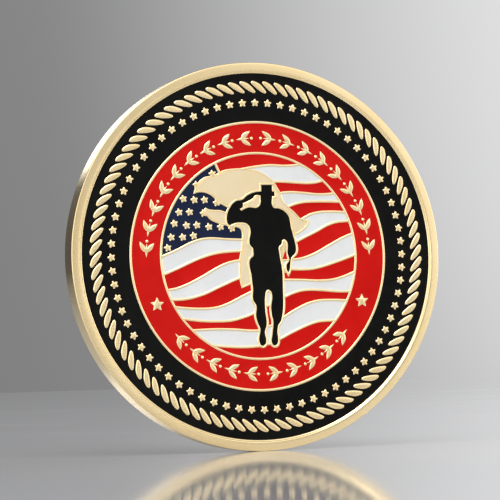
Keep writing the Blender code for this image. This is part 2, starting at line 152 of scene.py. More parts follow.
# Reverse
MEDALLION_RADIUS = 11.0
MEDALLION_RING_RADIUS = 11.45
MEDALLION_STAR_RADIUS = 8.0
MEDALLION_STAR_EDGE = 0.45
MEDALLION_STAR_BLUNT = 0.02
MEDALLION_STAR_CORNER = 20.0  # degrees
WREATH_RADIUS = 16.1
WREATH_SPRIGS = 13  # on each side
WREATH_STEP = 11.6  # degrees
WREATH_SHIFT = 1.1  # steps from the bottom to the first sprig
WREATH_SCALE = 2.1
WREATH = (WREATH_RADIUS, WREATH_STEP, WREATH_SHIFT, WREATH_SCALE)
BEAD_RING_RADIUS = 20.1
BEADS = 120
BEAD_RADIUS = 0.28
BEAD_SIDES = 14

# ---------------------------------------------------------------- outlines, as in the CAD

SOLDIER_RIGHT_SIDE = [
    (0.42, 8.13), (1.76, 8.13), (1.76, 7.35), (2.04, 7.35), (2.04, 6.8), (1.74, 6.8), (1.72, 5.75),
    (1.85, 5.52), (2.5, 5.42), (3.05, 5.17), (3.45, 4.83), (3.68, 4.45), (3.96, 3.0), (4.15, 2.3),
    (4.23, 0.08), (3.9, -0.2), (3.7, -1.0), (3.66, -1.4), (3.55, -1.75), (3.42, -2.0), (3.28, -1.75),
]
ARM_GAP = [
    (3.2, -1.4), (3.27, -1.0), (3.58, -0.6), (3.55, -0.3), (3.39, 0.2), (3.43, 1.2), (3.3, 1.7),
    (3.05, 1.87), (2.8, 1.7), (2.68, 1.25), (2.45, 1.1), (2.43, 0.1), (2.64, -1.3),
]
SOLDIER_LEGS = [
    (2.69, -1.75), (2.72, -2.3), (2.71, -3.6), (2.46, -7.1), (2.3, -7.6), (2.0, -8.0), (1.88, -8.5),
    (1.87, -10.0), (1.78, -10.2), (1.55, -10.3), (1.3, -10.23), (1.15, -10.0), (1.24, -9.0),
    (1.38, -8.0), (1.39, -7.5), (1.25, -6.85), (1.18, -6.0), (1.33, -4.5), (1.2, -4.05), (0.93, -3.88),
    (0.68, -4.05), (0.5, -4.8), (0.47, -6.2), (0.55, -8.1), (0.36, -8.6), (0.43, -10.0),
    (0.32, -10.2), (0.08, -10.3), (-0.2, -10.2), (-0.34, -9.9), (-0.25, -8.2), (-0.5, -7.65),
    (-0.68, -6.9), (-0.6, -5.8), (-0.68, -5.5), (-0.9, -5.2), (-0.94, -3.8), (-1.07, -2.4),
]
SOLDIER_LEFT_SIDE = [
    (-1.05, -0.25), (-0.82, -0.08), (-0.77, 0.5), (-0.82, 0.9), (-1.08, 1.15), (-1.05, 3.0),
    (-1.2, 3.45), (-1.5, 3.72), (-2.0, 3.82), (-2.7, 3.79), (-3.2, 3.63), (-3.55, 3.53),
    (-3.78, 3.75), (-3.85, 4.2), (-3.77, 4.8), (-3.5, 5.4), (-3.1, 5.95), (-2.6, 6.3),
    (-1.85, 6.45), (-1.4, 6.84), (-0.8, 7.15), (-0.1, 7.33), (0.42, 7.37),
]
SALUTE_GAP = [
    (0.3, 6.93), (-0.3, 6.93), (-0.65, 6.57), (-1.2, 6.27), (-1.82, 6.02), (-1.86, 5.6),
    (-2.22, 5.35), (-2.05, 5.16), (-1.65, 5.38), (-1.2, 5.54), (-0.05, 5.56), (0.2, 5.78),
    (0.31, 6.2),
]
SOLDIER_OUTLINE = SOLDIER_RIGHT_SIDE + SOLDIER_LEGS + SOLDIER_LEFT_SIDE
SOLDIER_FILL = SOLDIER_RIGHT_SIDE + ARM_GAP + SOLDIER_LEGS + SOLDIER_LEFT_SIDE

EAGLE = [
    (-4.5, 9.62), (-3.8, 9.87), (-2.8, 10.0), (-1.5, 10.02), (-0.6, 9.93), (0.3, 9.68), (1.1, 9.25),
    (1.9, 8.6), (2.4, 7.85), (2.8, 7.15), (3.15, 6.2), (3.6, 5.7), (4.4, 5.0), (5.25, 4.22),
    (5.65, 4.12), (6.2, 4.1), (6.15, 3.7), (5.8, 3.2), (5.2, 2.7), (4.4, 2.3), (3.0, 2.0),
    (0.0, 1.0), (-0.7, -3.0), (-1.3, -3.3), (-2.3, -3.7), (-2.55, -2.5), (-2.58, -1.5),
    (-2.5, -0.4), (-2.3, 0.5), (-2.13, 1.7), (-2.1, 2.7), (-2.22, 3.05), (-2.6, 3.27), (-3.3, 3.35),
    (-4.2, 3.55), (-5.2, 3.85), (-5.8, 4.15), (-6.3, 4.65), (-6.85, 4.95), (-6.35, 5.55),
    (-6.0, 5.38), (-5.4, 5.28), (-4.6, 5.25), (-3.7, 5.08), (-3.3, 5.4), (-3.95, 5.65), (-4.3, 5.87),
    (-4.9, 6.05), (-5.1, 6.4), (-5.5, 6.83), (-6.0, 7.12), (-6.6, 7.28), (-7.2, 7.26),
    (-7.75, 7.08), (-7.6, 7.6), (-7.35, 8.1), (-6.9, 8.65), (-6.3, 9.03), (-5.5, 9.2), (-4.9, 9.38),
]

# The lines between the flag's stripes run from left to right and end beyond the ring or under a
# silhouette, which trim them.
LEFT_LINES = [
    [(-12.4, -0.25), (-10.0, 0.7), (-8.0, 1.62), (-7.0, 1.93), (-6.0, 2.04), (-4.0, 1.93),
     (-1.6, 1.83)],
    [(-12.4, -2.35), (-10.0, -1.38), (-7.0, -0.13), (-6.0, 0.17), (-5.0, 0.38), (-3.5, 0.53),
     (-1.6, 0.58)],
    [(-12.4, -3.95), (-11.0, -3.75), (-10.0, -3.58), (-9.0, -3.25), (-7.0, -2.33), (-5.0, -1.25),
     (-4.0, -0.83), (-3.0, -0.58), (-1.6, -0.45)],
    [(-12.4, -4.7), (-10.6, -4.85), (-9.0, -4.79), (-7.0, -4.33), (-5.0, -3.5), (-3.0, -2.67),
     (-1.6, -2.2)],
    [(-12.4, -5.4), (-10.2, -5.7), (-8.0, -5.9), (-6.0, -5.9), (-5.0, -5.75), (-4.0, -5.42),
     (-2.0, -4.5), (0.1, -3.55)],
    [(-12.4, -6.5), (-9.4, -7.0), (-7.5, -7.27), (-5.5, -7.38), (-3.7, -7.33), (-2.0, -6.93),
     (0.1, -6.15)],
    [(-12.4, -8.6), (-8.25, -8.35), (-5.5, -8.28), (-3.0, -8.38), (-1.5, -8.52), (0.1, -8.54)],
    [(-12.4, -8.9), (-6.1, -10.08), (-4.0, -10.29), (-2.0, -10.38), (0.1, -10.28)],
]
RIGHT_LINES = [
    [(-1.8, 9.95), (-0.5, 10.17), (1.5, 10.39), (3.5, 10.33), (5.0, 10.45), (6.5, 10.9)],
    [(1.0, 8.5), (3.0, 8.5), (5.0, 8.38), (6.0, 8.33), (7.0, 8.4), (9.0, 8.9)],
    [(2.3, 7.0), (2.8, 7.17), (4.0, 7.28), (5.5, 7.2), (7.5, 7.02), (9.2, 7.12), (10.5, 7.4)],
    [(2.8, 5.25), (4.5, 5.92), (5.5, 6.13), (7.0, 6.2), (9.0, 6.19), (11.0, 6.1)],
    [(4.4, 3.65), (5.3, 4.17), (6.5, 4.75), (7.5, 4.96), (9.0, 5.02), (11.5, 4.88)],
    [(3.6, 1.1), (5.0, 1.82), (7.0, 2.75), (8.5, 3.5), (9.5, 3.8), (10.3, 3.88), (12.4, 3.98)],
    [(3.2, -0.5), (4.08, -0.48), (5.0, -0.38), (6.5, 0.08), (8.5, 1.08), (10.5, 2.08), (12.4, 2.75)],
    [(3.2, -1.55), (5.0, -1.62), (6.5, -1.54), (7.5, -1.33), (9.5, -0.75), (12.4, 0.23)],
    [(2.2, -2.76), (5.0, -2.84), (7.5, -2.94), (9.0, -2.83), (10.0, -2.58), (12.4, -1.65)],
    [(2.2, -5.05), (4.0, -4.29), (5.0, -4.04), (6.0, -3.97), (7.5, -4.04), (9.5, -4.22),
     (12.4, -4.2)],
    [(1.9, -7.6), (4.0, -6.33), (5.0, -5.85), (6.0, -5.46), (7.0, -5.25), (8.5, -5.2), (12.4, -5.45)],
    [(1.5, -9.86), (4.0, -8.67), (6.0, -7.88), (7.0, -7.63), (8.0, -7.57), (10.5, -7.55)],
]
LEG_LINES = [
    [(0.1, -3.4), (1.7, -3.4)],
    [(0.1, -5.8), (1.7, -5.6)],
    [(0.1, -8.15), (1.7, -7.95)],
    [(0.1, -10.1), (1.7, -10.1)],
]
FIRST_RIGHT_STRIPE = 2  # under the highest of the lines on the right
FIRST_LEFT_STRIPE = 6
FIRST_LEG_STRIPE = 10
TOP_BEYOND_RING = [(6.5, 12.5), (-5.1, 12.5)]
BOTTOM_BEYOND_RING = [(10.5, -13.0), (-12.4, -13.0)]
CANTON_BEYOND_RING = [(-13.0, 11.1)]
CANTON_EDGE = [(-4.45, 9.3), (-5.3, 11.1)]
BEHIND_EAGLE = [(-1.6, 3.6), (-2.5, 5.0), (-3.0, 8.0)]  # end of the canton under the eagle
ARM_GAP_CELLS = {
    7: [(3.14, 0.62), (3.36, -0.42), (2.76, -0.42)],
    8: [(2.78, -0.66), (3.3, -0.66), (3.05, -1.0), (2.98, -1.4), (2.9, -1.4)],
}
CANTON_STARS = [
    (-8.95, 6.55), (-7.65, 6.42), (-6.42, 6.42), (-9.5, 5.02), (-8.25, 5.05), (-10.1, 3.75),
    (-8.65, 3.52), (-7.42, 3.55), (-6.0, 3.35), (-10.5, 2.2), (-9.15, 2.2), (-7.85, 2.35),
    (-10.95, 1.0), (-4.6, 3.35), (-3.25, 3.15), (-5.4, 9.4), (-7.35, 8.15), (-6.6, 4.9), (-5.0, 6.1),
]

# ---------------------------------------------------------------- drawing on a face


def polar(radius, degrees):
    """Point at a clockwise angle from the top of the face."""
    angle = math.radians(degrees)
    return (radius * math.sin(angle), radius * math.cos(angle))


def circle(radius, centre=(0.0, 0.0), sides=SIDES):
    """Outline of a circle, from its top."""
    points = [polar(radius, 360 / sides * index) for index in range(sides)]
    return [(centre[0] + u, centre[1] + v) for u, v in points]


def tangent(before, here, after, corner):
    """Direction of a curve at a point, or None at a corner."""
    arriving = here - before
    leaving = after - here
    if arriving.angle(leaving) > math.radians(corner):
        return None
    blend = arriving.normalized() * leaving.length + leaving.normalized() * arriving.length
    return blend.normalized()


def smooth(points, closed=True, corner=CURVE_CORNER, step=CURVE_STEP):
    """Curve through points, which stays sharp where it turns by more than the corner angle."""
    points = [Vector(point) for point in points]
    count = len(points)
    tangents = [
        tangent(points[index - 1], points[index], points[(index + 1) % count], corner)
        for index in range(count)
    ]
    if not closed:
        tangents[0] = tangents[-1] = None
    curve = []
    for index in range(count if closed else count - 1):
        start, end = points[index], points[(index + 1) % count]
        chord = end - start
        first = tangents[index] or chord.normalized()
        last = tangents[(index + 1) % count] or chord.normalized()
        handles = start + first * chord.length / 3, end - last * chord.length / 3
        pieces = max(1, round(chord.length / step))
        curve += geometry.interpolate_bezier(start, *handles, end, pieces + 1)[:-1]
    if not closed:
        curve.append(points[-1])
    return [(point.x, point.y) for point in curve]


def side_normal(start, end):
    """Unit vector to the right of the way from start to end."""
    run, rise = end[0] - start[0], end[1] - start[1]
    length = math.hypot(run, rise)
    return (rise / length, -run / length)


def mitre(before, here, after):
    """How far a corner moves when both of its sides move one unit to the right of the path."""
    first, second = side_normal(before, here), side_normal(here, after)
    share = 1 / max(LEAST_MITRE, 1 + first[0] * second[0] + first[1] * second[1])
    return ((first[0] + second[0]) * share, (first[1] + second[1]) * share)


def grow(outline, distance):
    """Closed outline with each side moved outwards; a negative distance moves it inwards."""
    previous = outline[-1:] + outline[:-1]
    following = outline[1:] + outline[:1]
    area = sum(a[0] * b[1] - b[0] * a[1] for a, b in zip(outline, following))
    outward = distance if area > 0 else -distance
    moved = []
    for before, here, after in zip(previous, outline, following):
        move = mitre(before, here, after)
        moved.append((here[0] + move[0] * outward, here[1] + move[1] * outward))
    return moved


def shift(line, distance):
    """Open line moved upwards by a distance, square to its run, and drawn as a curve."""
    before = [(2 * line[0][0] - line[1][0], 2 * line[0][1] - line[1][1])] + line[:-1]
    after = line[1:] + [(2 * line[-1][0] - line[-2][0], 2 * line[-1][1] - line[-2][1])]
    moved = []
    for corner in zip(before, line, after):
        move = mitre(*corner)
        moved.append((corner[1][0] - move[0] * distance, corner[1][1] - move[1] * distance))
    return smooth(moved, closed=False)


def between(upper, lower):
    """Stripe between two lines, kept half a line's width away from both."""
    return shift(upper, -LINE_WIDTH / 2) + shift(lower, LINE_WIDTH / 2)[::-1]


def star(centre, radius, tilt=0.0, waist=0.5, blunt=0.06):
    """Star with rounded tips; waist and blunt are shares of its radius.

    The waist is how far out its inner corners lie, and blunt is the radius of a tip's rounding.
    """
    points = []
    for index in range(STAR_TIPS):
        degrees = tilt + 360 / STAR_TIPS * index
        for turn in TIP_TURNS:
            reach = radius * (1 - blunt) + radius * blunt * math.cos(math.radians(turn))
            aside = radius * blunt * math.sin(math.radians(turn))
            lean = math.degrees(math.atan2(aside, reach))
            points.append(polar(math.hypot(reach, aside), degrees + lean))
        points.append(polar(radius * waist, degrees + 180 / STAR_TIPS))
    return [(centre[0] + u, centre[1] + v) for u, v in points]


def bend(radius, degrees, shape):
    """Shape of (along, outward) points, bent round the face at a radius."""
    return [
        polar(radius + outward, degrees + math.degrees(along / radius)) for along, outward in shape
    ]


def strand(index):
    """One strand of the rope, a slanted petal."""
    return bend(ROPE_RADIUS, STRAND_SHIFT + 360 / STRANDS * index, smooth(STRAND, corner=180))


def leaf(base, length, tilt, width=1.0):
    """Almond-shaped leaf from its base, tilted off the way along."""
    half = [(along, across * width) for along, across in LEAF_HALF]
    shape = smooth(half + [(along, -across) for along, across in half[-2:0:-1]], step=LEAF_STEP)
    cos = math.cos(math.radians(tilt))
    sin = math.sin(math.radians(tilt))
    return [
        (base[0] + length * (u * cos - v * sin), base[1] + length * (u * sin + v * cos))
        for u, v in shape
    ]


SPRIG = [  # two leaves, a stem and a berry
    leaf((-0.45, 0.05), 1.42, 34),
    leaf((-0.45, -0.05), 1.42, -34),
    leaf((-1.0, 0.0), 1.6, 0, 0.45),
    circle(BERRY_RADIUS, (0.85, 0.0), BERRY_SIDES),
]
VEINS = [leaf((-0.2, 0.2), 0.95, 36, 0.3), leaf((-0.2, -0.2), 0.95, -36, 0.3)]


def sprig(radius, degrees, direction, scale, shapes):
    """Sprig, or only its veins, that grows the given way round the face."""
    grown = []
    for shape in shapes:
        sized = [(direction * scale * along, scale * outward) for along, outward in shape]
        grown.append(bend(radius, degrees, sized))
    return grown


def garland(form, middle, side, towards, count, shapes=SPRIG):
    """Row of sprigs that starts beside a middle angle and goes round the face on one side."""
    radius, step, gap, scale = form
    row = []
    for index in range(count):
        row += sprig(radius, middle + side * step * (index + gap), towards, scale, shapes)
    return row


# ---------------------------------------------------------------- the planar map


def inside(points, outline):
    """Which of the points lie inside a closed outline."""
    corners = np.array(outline)
    low, high = corners.min(axis=0), corners.max(axis=0)
    near = np.flatnonzero(((points > low) & (points < high)).all(axis=1))
    u, v = points[near].T
    odd = np.zeros(len(near), bool)
    for (u1, v1), (u2, v2) in zip(corners, np.roll(corners, -1, axis=0)):
        if v1 != v2:
            odd ^= ((v1 > v) != (v2 > v)) & (u < (u2 - u1) * (v - v1) / (v2 - v1) + u1)
    found = np.zeros(len(points), bool)
    found[near] = odd
    return found


class Drawing:
    """Outlines painted over each other; the last one over a point says what lies there."""

    def __init__(self, ground):
        self.layers = []
        self.ground = ground

    def paint(self, region, outlines, within=None):
        """Put a region inside the outlines, or only where they lie within another outline."""
        self.layers.append((region, outlines, within))

    def regions(self, points):
        """Region at each of the points."""
        names = np.full(len(points), self.ground, dtype=object)
        for region, outlines, within in self.layers:
            covered = np.zeros(len(points), bool)
            for outline in outlines:
                covered |= inside(points, outline)
            if within is not None:
                covered &= inside(points, within)
            names[covered] = region
        return names

    def outlines(self):
        """Every outline of the map, with each limit once."""
        limits = {id(within): within for _, _, within in self.layers if within is not None}
        painted = [outline for _, outlines, _ in self.layers for outline in outlines]
        return painted + list(limits.values())


def triangulate(points, edges):
    """Corners and triangles of a map that keeps the edges."""
    places = [Vector(point) for point in points]
    corners, _, faces, *_ = geometry.delaunay_2d_cdt(places, edges, [], 0, MERGE_DISTANCE, False)
    return np.array([tuple(corner) for corner in corners]), np.array(faces)


def loops(outlines):
    """Points of closed outlines, and the edges between them."""
    points, edges = [], []
    for outline in outlines:
        first, count = len(points), len(outline)
        points += outline
        edges += [(first + index, first + (index + 1) % count) for index in range(count)]
    return points, edges


RELIEF = "relief"
RECESS = "recess"


def borders(triangles, regions):
    """Edges round the raised metal, with it on their left, and the region on their right."""
    side = {}
    for (a, b, c), region in zip(triangles.tolist(), regions):
        side[a, b] = side[b, c] = side[c, a] = region
    return {
        (a, b): side[b, a]
        for (a, b), region in side.items()
        if region == RELIEF and side.get((b, a), RELIEF) != RELIEF
    }


class Face:
    """One struck face: its map cut into triangles, with a height for each corner."""

    def __init__(self, drawing, edge_radius, heights, floor):
        self.heights = heights
        self.floor = floor
        rough, triangles = triangulate(*loops([circle(edge_radius)] + drawing.outlines()))
        within = inside(rough[triangles].mean(axis=1), circle(edge_radius))
        triangles = triangles[within]
        border = borders(triangles, drawing.regions(rough[triangles].mean(axis=1)))
        hull = self.hull(triangles)
        used, compact = np.unique(np.array(list(border) + hull), return_inverse=True)
        pairs = compact.reshape(-1, 2).tolist()
        self.points = rough[used]
        self.border = dict(zip(map(tuple, pairs), border.values()))  # the hull's pairs drop out
        self.walls = BVHTree.FromPolygons(*self.curtain())
        self.base = self.cut(drawing, pairs, self.points)
        rows, row_edges = self.rows()
        self.top = self.cut(drawing, pairs + row_edges, np.vstack([self.points, rows]))

    @staticmethod
    def hull(triangles):
        """Edges at the map's own outside."""
        edges = {(a, b) for t in triangles.tolist() for a, b in zip(t, t[1:] + t[:1])}
        return [(a, b) for a, b in edges if (b, a) not in edges]

    def curtain(self):
        """Upright faces along the borders, for measuring distances."""
        count = len(self.points)
        low = [(u, v, -1.0) for u, v in self.points]
        high = [(u, v, 1.0) for u, v in self.points]
        return low + high, [(a, b, b + count, a + count) for a, b in self.border]

    def distance(self, point):
        """From a point of the map to the nearest border."""
        return self.walls.find_nearest((point[0], point[1], 0.0))[3]

    def rows(self):
        """Points in rows beside the borders, and the edges that join them along each row."""
        before = {b: a for a, b in self.border}
        after = {a: b for a, b in self.border}
        corners = {
            here: mitre(self.points[before[here]], self.points[here], self.points[after[here]])
            for here in after
            if here in before
        }
        made, edges = [], []
        signed = [-distance for distance in METAL_ROWS] + list(FILL_ROWS)
        for offset in signed:
            row = {}
            for here, (u, v) in corners.items():
                point = (self.points[here][0] + u * offset, self.points[here][1] + v * offset)
                if self.distance(point) > ROW_FREEDOM * abs(offset):
                    row[here] = len(self.points) + len(made)
                    made.append(point)
            edges += [(row[a], row[b]) for a, b in self.border if a in row and b in row]
        return np.array(made), edges

    def cut(self, drawing, edges, points):
        """(points, triangles, regions, distances to the nearest border)."""
        points, triangles = triangulate(points, edges)
        middles = points[triangles].mean(axis=1)
        keep = np.hypot(*middles.T) < np.hypot(*self.points.T).max() * math.cos(math.pi / SIDES)
        triangles, middles = triangles[keep], middles[keep]
        distances = np.array([self.distance(point) for point in points])
        return points, triangles, drawing.regions(middles), distances

    def height(self, region, distance):
        """Height of a region at distances from its border."""
        if region == RELIEF:
            rest = np.clip(1 - distance / SHOULDER_WIDTH, 0, 1)
            return self.heights[RELIEF] - SHOULDER_DROP * rest**SHOULDER_POWER
        rest = np.clip(1 - distance / MENISCUS_WIDTH, 0, 1)
        rise = RECESS_RISE if region == RECESS else MENISCUS_RISE
        return self.heights.get(region, self.heights["enamel"]) + rise * rest**2

    def tops(self, region):
        """Upper triangles of a region, as corners with heights."""
        points, triangles, regions, distances = self.top
        mine = triangles[regions == region]
        flat = points[mine]
        return np.concatenate([flat, self.height(region, distances[mine])[..., None]], axis=2)

    def floors(self, region):
        """Triangles of the floor under an enamel region, facing up."""
        points, triangles, regions, _ = self.base
        flat = points[triangles[regions == region]]
        return np.concatenate([flat, np.full(flat.shape[:2] + (1,), self.floor)], axis=2)

    def wall(self, edge, low, high):
        """Upright face on an edge, seen from its right."""
        (u1, v1), (u2, v2) = self.points[edge[0]], self.points[edge[1]]
        foot, toe = (u1, v1, low), (u2, v2, low)
        head, crown = (u1, v1, high), (u2, v2, high)
        return [(foot, toe, crown), (foot, crown, head)]

    def enamels(self):
        """Names of the fills that touch the raised metal."""
        return sorted(set(self.border.values()) - {RECESS})

    def metal(self):
        """Triangles of polished metal (tops, walls and floors under enamel), and of the recesses."""
        edge_height = self.height(RELIEF, 0.0)
        polished = [self.tops(RELIEF)]
        walls = []
        for edge, region in self.border.items():
            foot = self.height(RECESS, 0.0) if region == RECESS else self.floor
            walls += self.wall(edge, foot, edge_height)
        polished.append(np.array(walls))
        polished += [self.floors(region) for region in self.enamels()]
        return np.concatenate(polished), self.tops(RECESS)

    def fill(self, region):
        """Closed triangles of one enamel fill."""
        top_height = self.height(region, 0.0)
        walls = []
        for (a, b), beside in self.border.items():
            if beside == region:
                walls += self.wall((b, a), self.floor, top_height)
        return np.concatenate([self.tops(region), self.floors(region)[:, ::-1], np.array(walls)])


# ---------------------------------------------------------------- meshes

OBVERSE = np.array([[1, 0, 0], [0, 0, -1], [0, 1, 0]], float)  # u, v and height to x, y and z
REVERSE = np.array([[-1, 0, 0], [0, 0, 1], [0, 1, 0]], float)


def build(name, groups, materials, node):
    """Piece from triangles in millimetres about the coin's middle, in one group per material."""
    corners = np.concatenate(groups).reshape(-1, 3)
    places, index = np.unique(np.round(corners, WELD_DECIMALS), axis=0, return_inverse=True)
    faces = index.reshape(-1, 3)
    slots = np.repeat(np.arange(len(groups)), [len(group) for group in groups])
    whole = (faces != np.roll(faces, 1, axis=1)).all(axis=1)
    mesh = bpy.data.meshes.new(name)
    mesh.from_pydata((places + (0, 0, RADIUS)) * MM, [], faces[whole].tolist())
    mesh.polygons.foreach_set("material_index", slots[whole])
    for material in materials:
        mesh.materials.append(material)
    mesh.shade_smooth()
    mesh.set_sharp_from_angle(angle=math.radians(SHARP_ANGLE))
    piece = bpy.data.objects.new(name, mesh)
    bpy.context.scene.collection.objects.link(piece)
    weighted = piece.modifiers.new("Flat tops", "WEIGHTED_NORMAL")
    weighted.mode = "FACE_AREA_WITH_ANGLE"
    weighted.weight = FLATNESS
    weighted.keep_sharp = True
    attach(piece, "root")
    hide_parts(node)


def placed(triangles, face):
    """Triangles of a face's map, in the coin's own axes."""
    return triangles @ face.T


def rim_profile():
    """(radius, height) points from the obverse field over the rim and edge to the reverse field."""
    inner_arc = arc(RIM_FLAT_START, RIM_HEIGHT, -INNER_CURVE, INNER_CURVE_SWEEP)
    inner = [(RIM_INNER_RADIUS, RELIEF_HEIGHT)] + inner_arc[::-1]
    crown = []
    for part in range(1, CROWN_PARTS):
        share = part / CROWN_PARTS
        fall = RIM_CROWN * (CROWN_SLOPE_SHARE * share + (1 - CROWN_SLOPE_SHARE) * share**2)
        crown.append((RIM_FLAT_START + share * RIM_FLAT_WIDTH, RIM_HEIGHT - fall))
    outer = arc(RADIUS - EDGE_BEVEL, RIM_HEIGHT - RIM_CROWN, EDGE_BEVEL, 90)
    obverse = inner + crown + outer
    reverse = [(radius, -height) for radius, height in obverse[:0:-1]]
    return obverse + reverse + [(RIM_INNER_RADIUS, -REVERSE_FIELD_HEIGHT)]


def arc(radius, height, size, sweep):
    """Rounding that leaves a flat at a radius; the size is negative towards the coin's middle."""
    angles = [math.radians(sweep * part / ARC_PARTS) for part in range(ARC_PARTS + 1)]
    drop = abs(size)
    return [
        (radius + size * math.sin(angle), height - drop * (1 - math.cos(angle))) for angle in angles
    ]


def turned(profile):
    """Triangles of a profile turned round the coin's axis, facing out."""
    triangles = []
    for index in range(SIDES):
        degrees = 360 / SIDES * index
        following = 360 / SIDES * (index + 1)
        for (r1, h1), (r2, h2) in zip(profile, profile[1:]):
            (a, b), (c, d) = polar(r1, degrees), polar(r2, degrees)
            (e, f), (g, h) = polar(r1, following), polar(r2, following)
            corner, below = (a, -h1, b), (c, -h2, d)
            beside, across = (e, -h1, f), (g, -h2, h)
            triangles += [(corner, across, below), (corner, beside, across)]
    return np.array(triangles)


# ---------------------------------------------------------------- the two drawings


def stripe_name(number, side):
    """CAD node of a stripe's cell; the odd stripes are red."""
    return f"stripe_{number:02d}_{'red' if number % 2 else 'white'}_{side}"


def paint_rings(drawing):
    """Border, rope, small stars, band and garland, down to the ring round the flag."""
    drawing.paint("border_enamel", [circle(BORDER_OUTER_RADIUS)])
    drawing.paint(RELIEF, [strand(index) for index in range(STRANDS)])
    stars = []
    for index in range(BORDER_STARS):
        degrees = 360 / BORDER_STARS * index
        centre = polar(BORDER_STAR_RING_RADIUS, degrees)
        stars.append(star(centre, BORDER_STAR_RADIUS, degrees, **SMALL_STAR))
    drawing.paint(RELIEF, stars)
    drawing.paint(RELIEF, [circle(BORDER_INNER_RADIUS)])
    drawing.paint("band_enamel", [circle(BAND_OUTER_RADIUS)])
    for side in (1, -1):
        centre = polar(SPRIG_RADIUS, side * BAND_STAR_ANGLE)
        drawing.paint(RELIEF, [star(centre, BAND_STAR_RADIUS)])
        top = garland(BAND_GARLAND, 0, side, -side, TOP_SPRIGS)
        bottom = garland(BAND_GARLAND, 180, -side, side, BOTTOM_SPRIGS)
        drawing.paint(RELIEF, top + bottom)
    drawing.paint(RELIEF, [circle(BAND_INNER_RADIUS)])


def paint_flag(drawing):
    """Stripes and starred canton inside the ring."""
    field = circle(FIELD_RADIUS)
    inset = LINE_WIDTH / 2
    for lines, first, side in (
        (RIGHT_LINES, FIRST_RIGHT_STRIPE, "right"),
        (LEFT_LINES, FIRST_LEFT_STRIPE, "left"),
        (LEG_LINES, FIRST_LEG_STRIPE, "between_legs"),
    ):
        for number, (upper, lower) in enumerate(zip(lines, lines[1:]), first):
            drawing.paint(stripe_name(number, side), [between(upper, lower)], field)
    top = shift(RIGHT_LINES[0], inset) + TOP_BEYOND_RING + shift(CANTON_EDGE, -inset)[::-1]
    drawing.paint("stripe_01_red_top", [top], field)
    bottom = []
    for over in (LEFT_LINES[-1], LEG_LINES[-1], RIGHT_LINES[-1]):
        bottom += shift(over, -inset)
    drawing.paint("stripe_13_red_bottom", [bottom + BOTTOM_BEYOND_RING], field)
    canton = shift(LEFT_LINES[0], inset) + BEHIND_EAGLE
    canton += shift(CANTON_EDGE, inset) + CANTON_BEYOND_RING
    drawing.paint("canton_enamel", [canton], field)
    stars = []
    for centre in CANTON_STARS:
        stars.append(star(centre, CANTON_STAR_RADIUS, CANTON_STAR_TILT, **SMALL_STAR))
    drawing.paint(RELIEF, stars)


def paint_figures(drawing):
    """Eagle's head with its satin ground, and the outlined soldier in front of it."""
    drawing.paint(RELIEF, [smooth(EAGLE)])
    drawing.paint(RECESS, [smooth(grow(EAGLE, -OUTLINE_WIDTH))])
    drawing.paint(RELIEF, [smooth(grow(SOLDIER_OUTLINE, OUTLINE_WIDTH))])
    drawing.paint("soldier_enamel", [smooth(SOLDIER_FILL)])
    drawing.paint(RELIEF, [smooth(SALUTE_GAP)])
    drawing.paint(RECESS, [smooth(grow(SALUTE_GAP, -SALUTE_OUTLINE_WIDTH))])
    for number, shape in ARM_GAP_CELLS.items():
        drawing.paint(stripe_name(number, "inside_arm"), [shape])


def obverse_drawing():
    """The side in the photo."""
    drawing = Drawing(RELIEF)
    paint_rings(drawing)
    paint_flag(drawing)
    paint_figures(drawing)
    return drawing


def reverse_drawing():
    """Blasted field with beads, a laurel wreath and a ringed medallion that holds a star."""
    drawing = Drawing(RECESS)
    beads = []
    for index in range(BEADS):
        beads.append(circle(BEAD_RADIUS, polar(BEAD_RING_RADIUS, 360 / BEADS * index), BEAD_SIDES))
    drawing.paint(RELIEF, beads)
    for side in (1, -1):
        drawing.paint(RELIEF, garland(WREATH, 180, -side, side, WREATH_SPRIGS))
        drawing.paint(RECESS, garland(WREATH, 180, -side, side, WREATH_SPRIGS, VEINS))
    drawing.paint(RELIEF, [circle(MEDALLION_RING_RADIUS)])
    drawing.paint("medallion_enamel", [circle(MEDALLION_RADIUS)])
    shape = star((0.0, 0.0), MEDALLION_STAR_RADIUS, blunt=MEDALLION_STAR_BLUNT)
    drawing.paint(RELIEF, [smooth(shape, corner=MEDALLION_STAR_CORNER)])
    inner_shape = grow(shape, -MEDALLION_STAR_EDGE)
    drawing.paint(RECESS, [smooth(inner_shape, corner=MEDALLION_STAR_CORNER)])
    return drawing


# ---------------------------------------------------------------- materials

GOLD_PALE = (0.97, 0.78, 0.45)
GOLD_DEEP = (0.93, 0.72, 0.38)
SATIN_PALE = (0.93, 0.79, 0.53)
BLASTED_PALE = (0.82, 0.63, 0.34)
BLASTED_DEEP = (0.76, 0.56, 0.28)

# Roughness, from the smoothest spots to the roughest
POLISHED_ROUGHNESS = (0.2, 0.25)
HAIRLINE_ROUGHNESS = 0.05  # added on a hairline
SATIN_ROUGHNESS = (0.36, 0.46)
BLASTED_ROUGHNESS = (0.46, 0.56)
EDGE_ROUGHNESS = (0.18, 0.22)
ENAMEL_ROUGHNESS = (0.16, 0.26)
STONE_ROUGHNESS = (0.05, 0.08)

# Depths of bumps, in metres
RIPPLE_DEPTH = 0.000002
HAIRLINE_DEPTH = 0.0000001
GRAIN_DEPTH = 0.000002
BRUSH_DEPTH = 0.00000008
POOLING_DEPTH = 0.000006
SKIN_DEPTH = 0.0000005

# Scales of noise, in features a metre
TONE_SCALE = 160.0
HAZE_SCALE = 420.0
RIPPLE_SCALE = 300.0
GRAIN_SCALE = 9000.0
BRUSH_SCALE = 2600.0
EDGE_TONE_SCALE = 120.0
POOLING_SCALE = 260.0
GLOSS_SCALE = 900.0
SKIN_SCALE = 3000.0

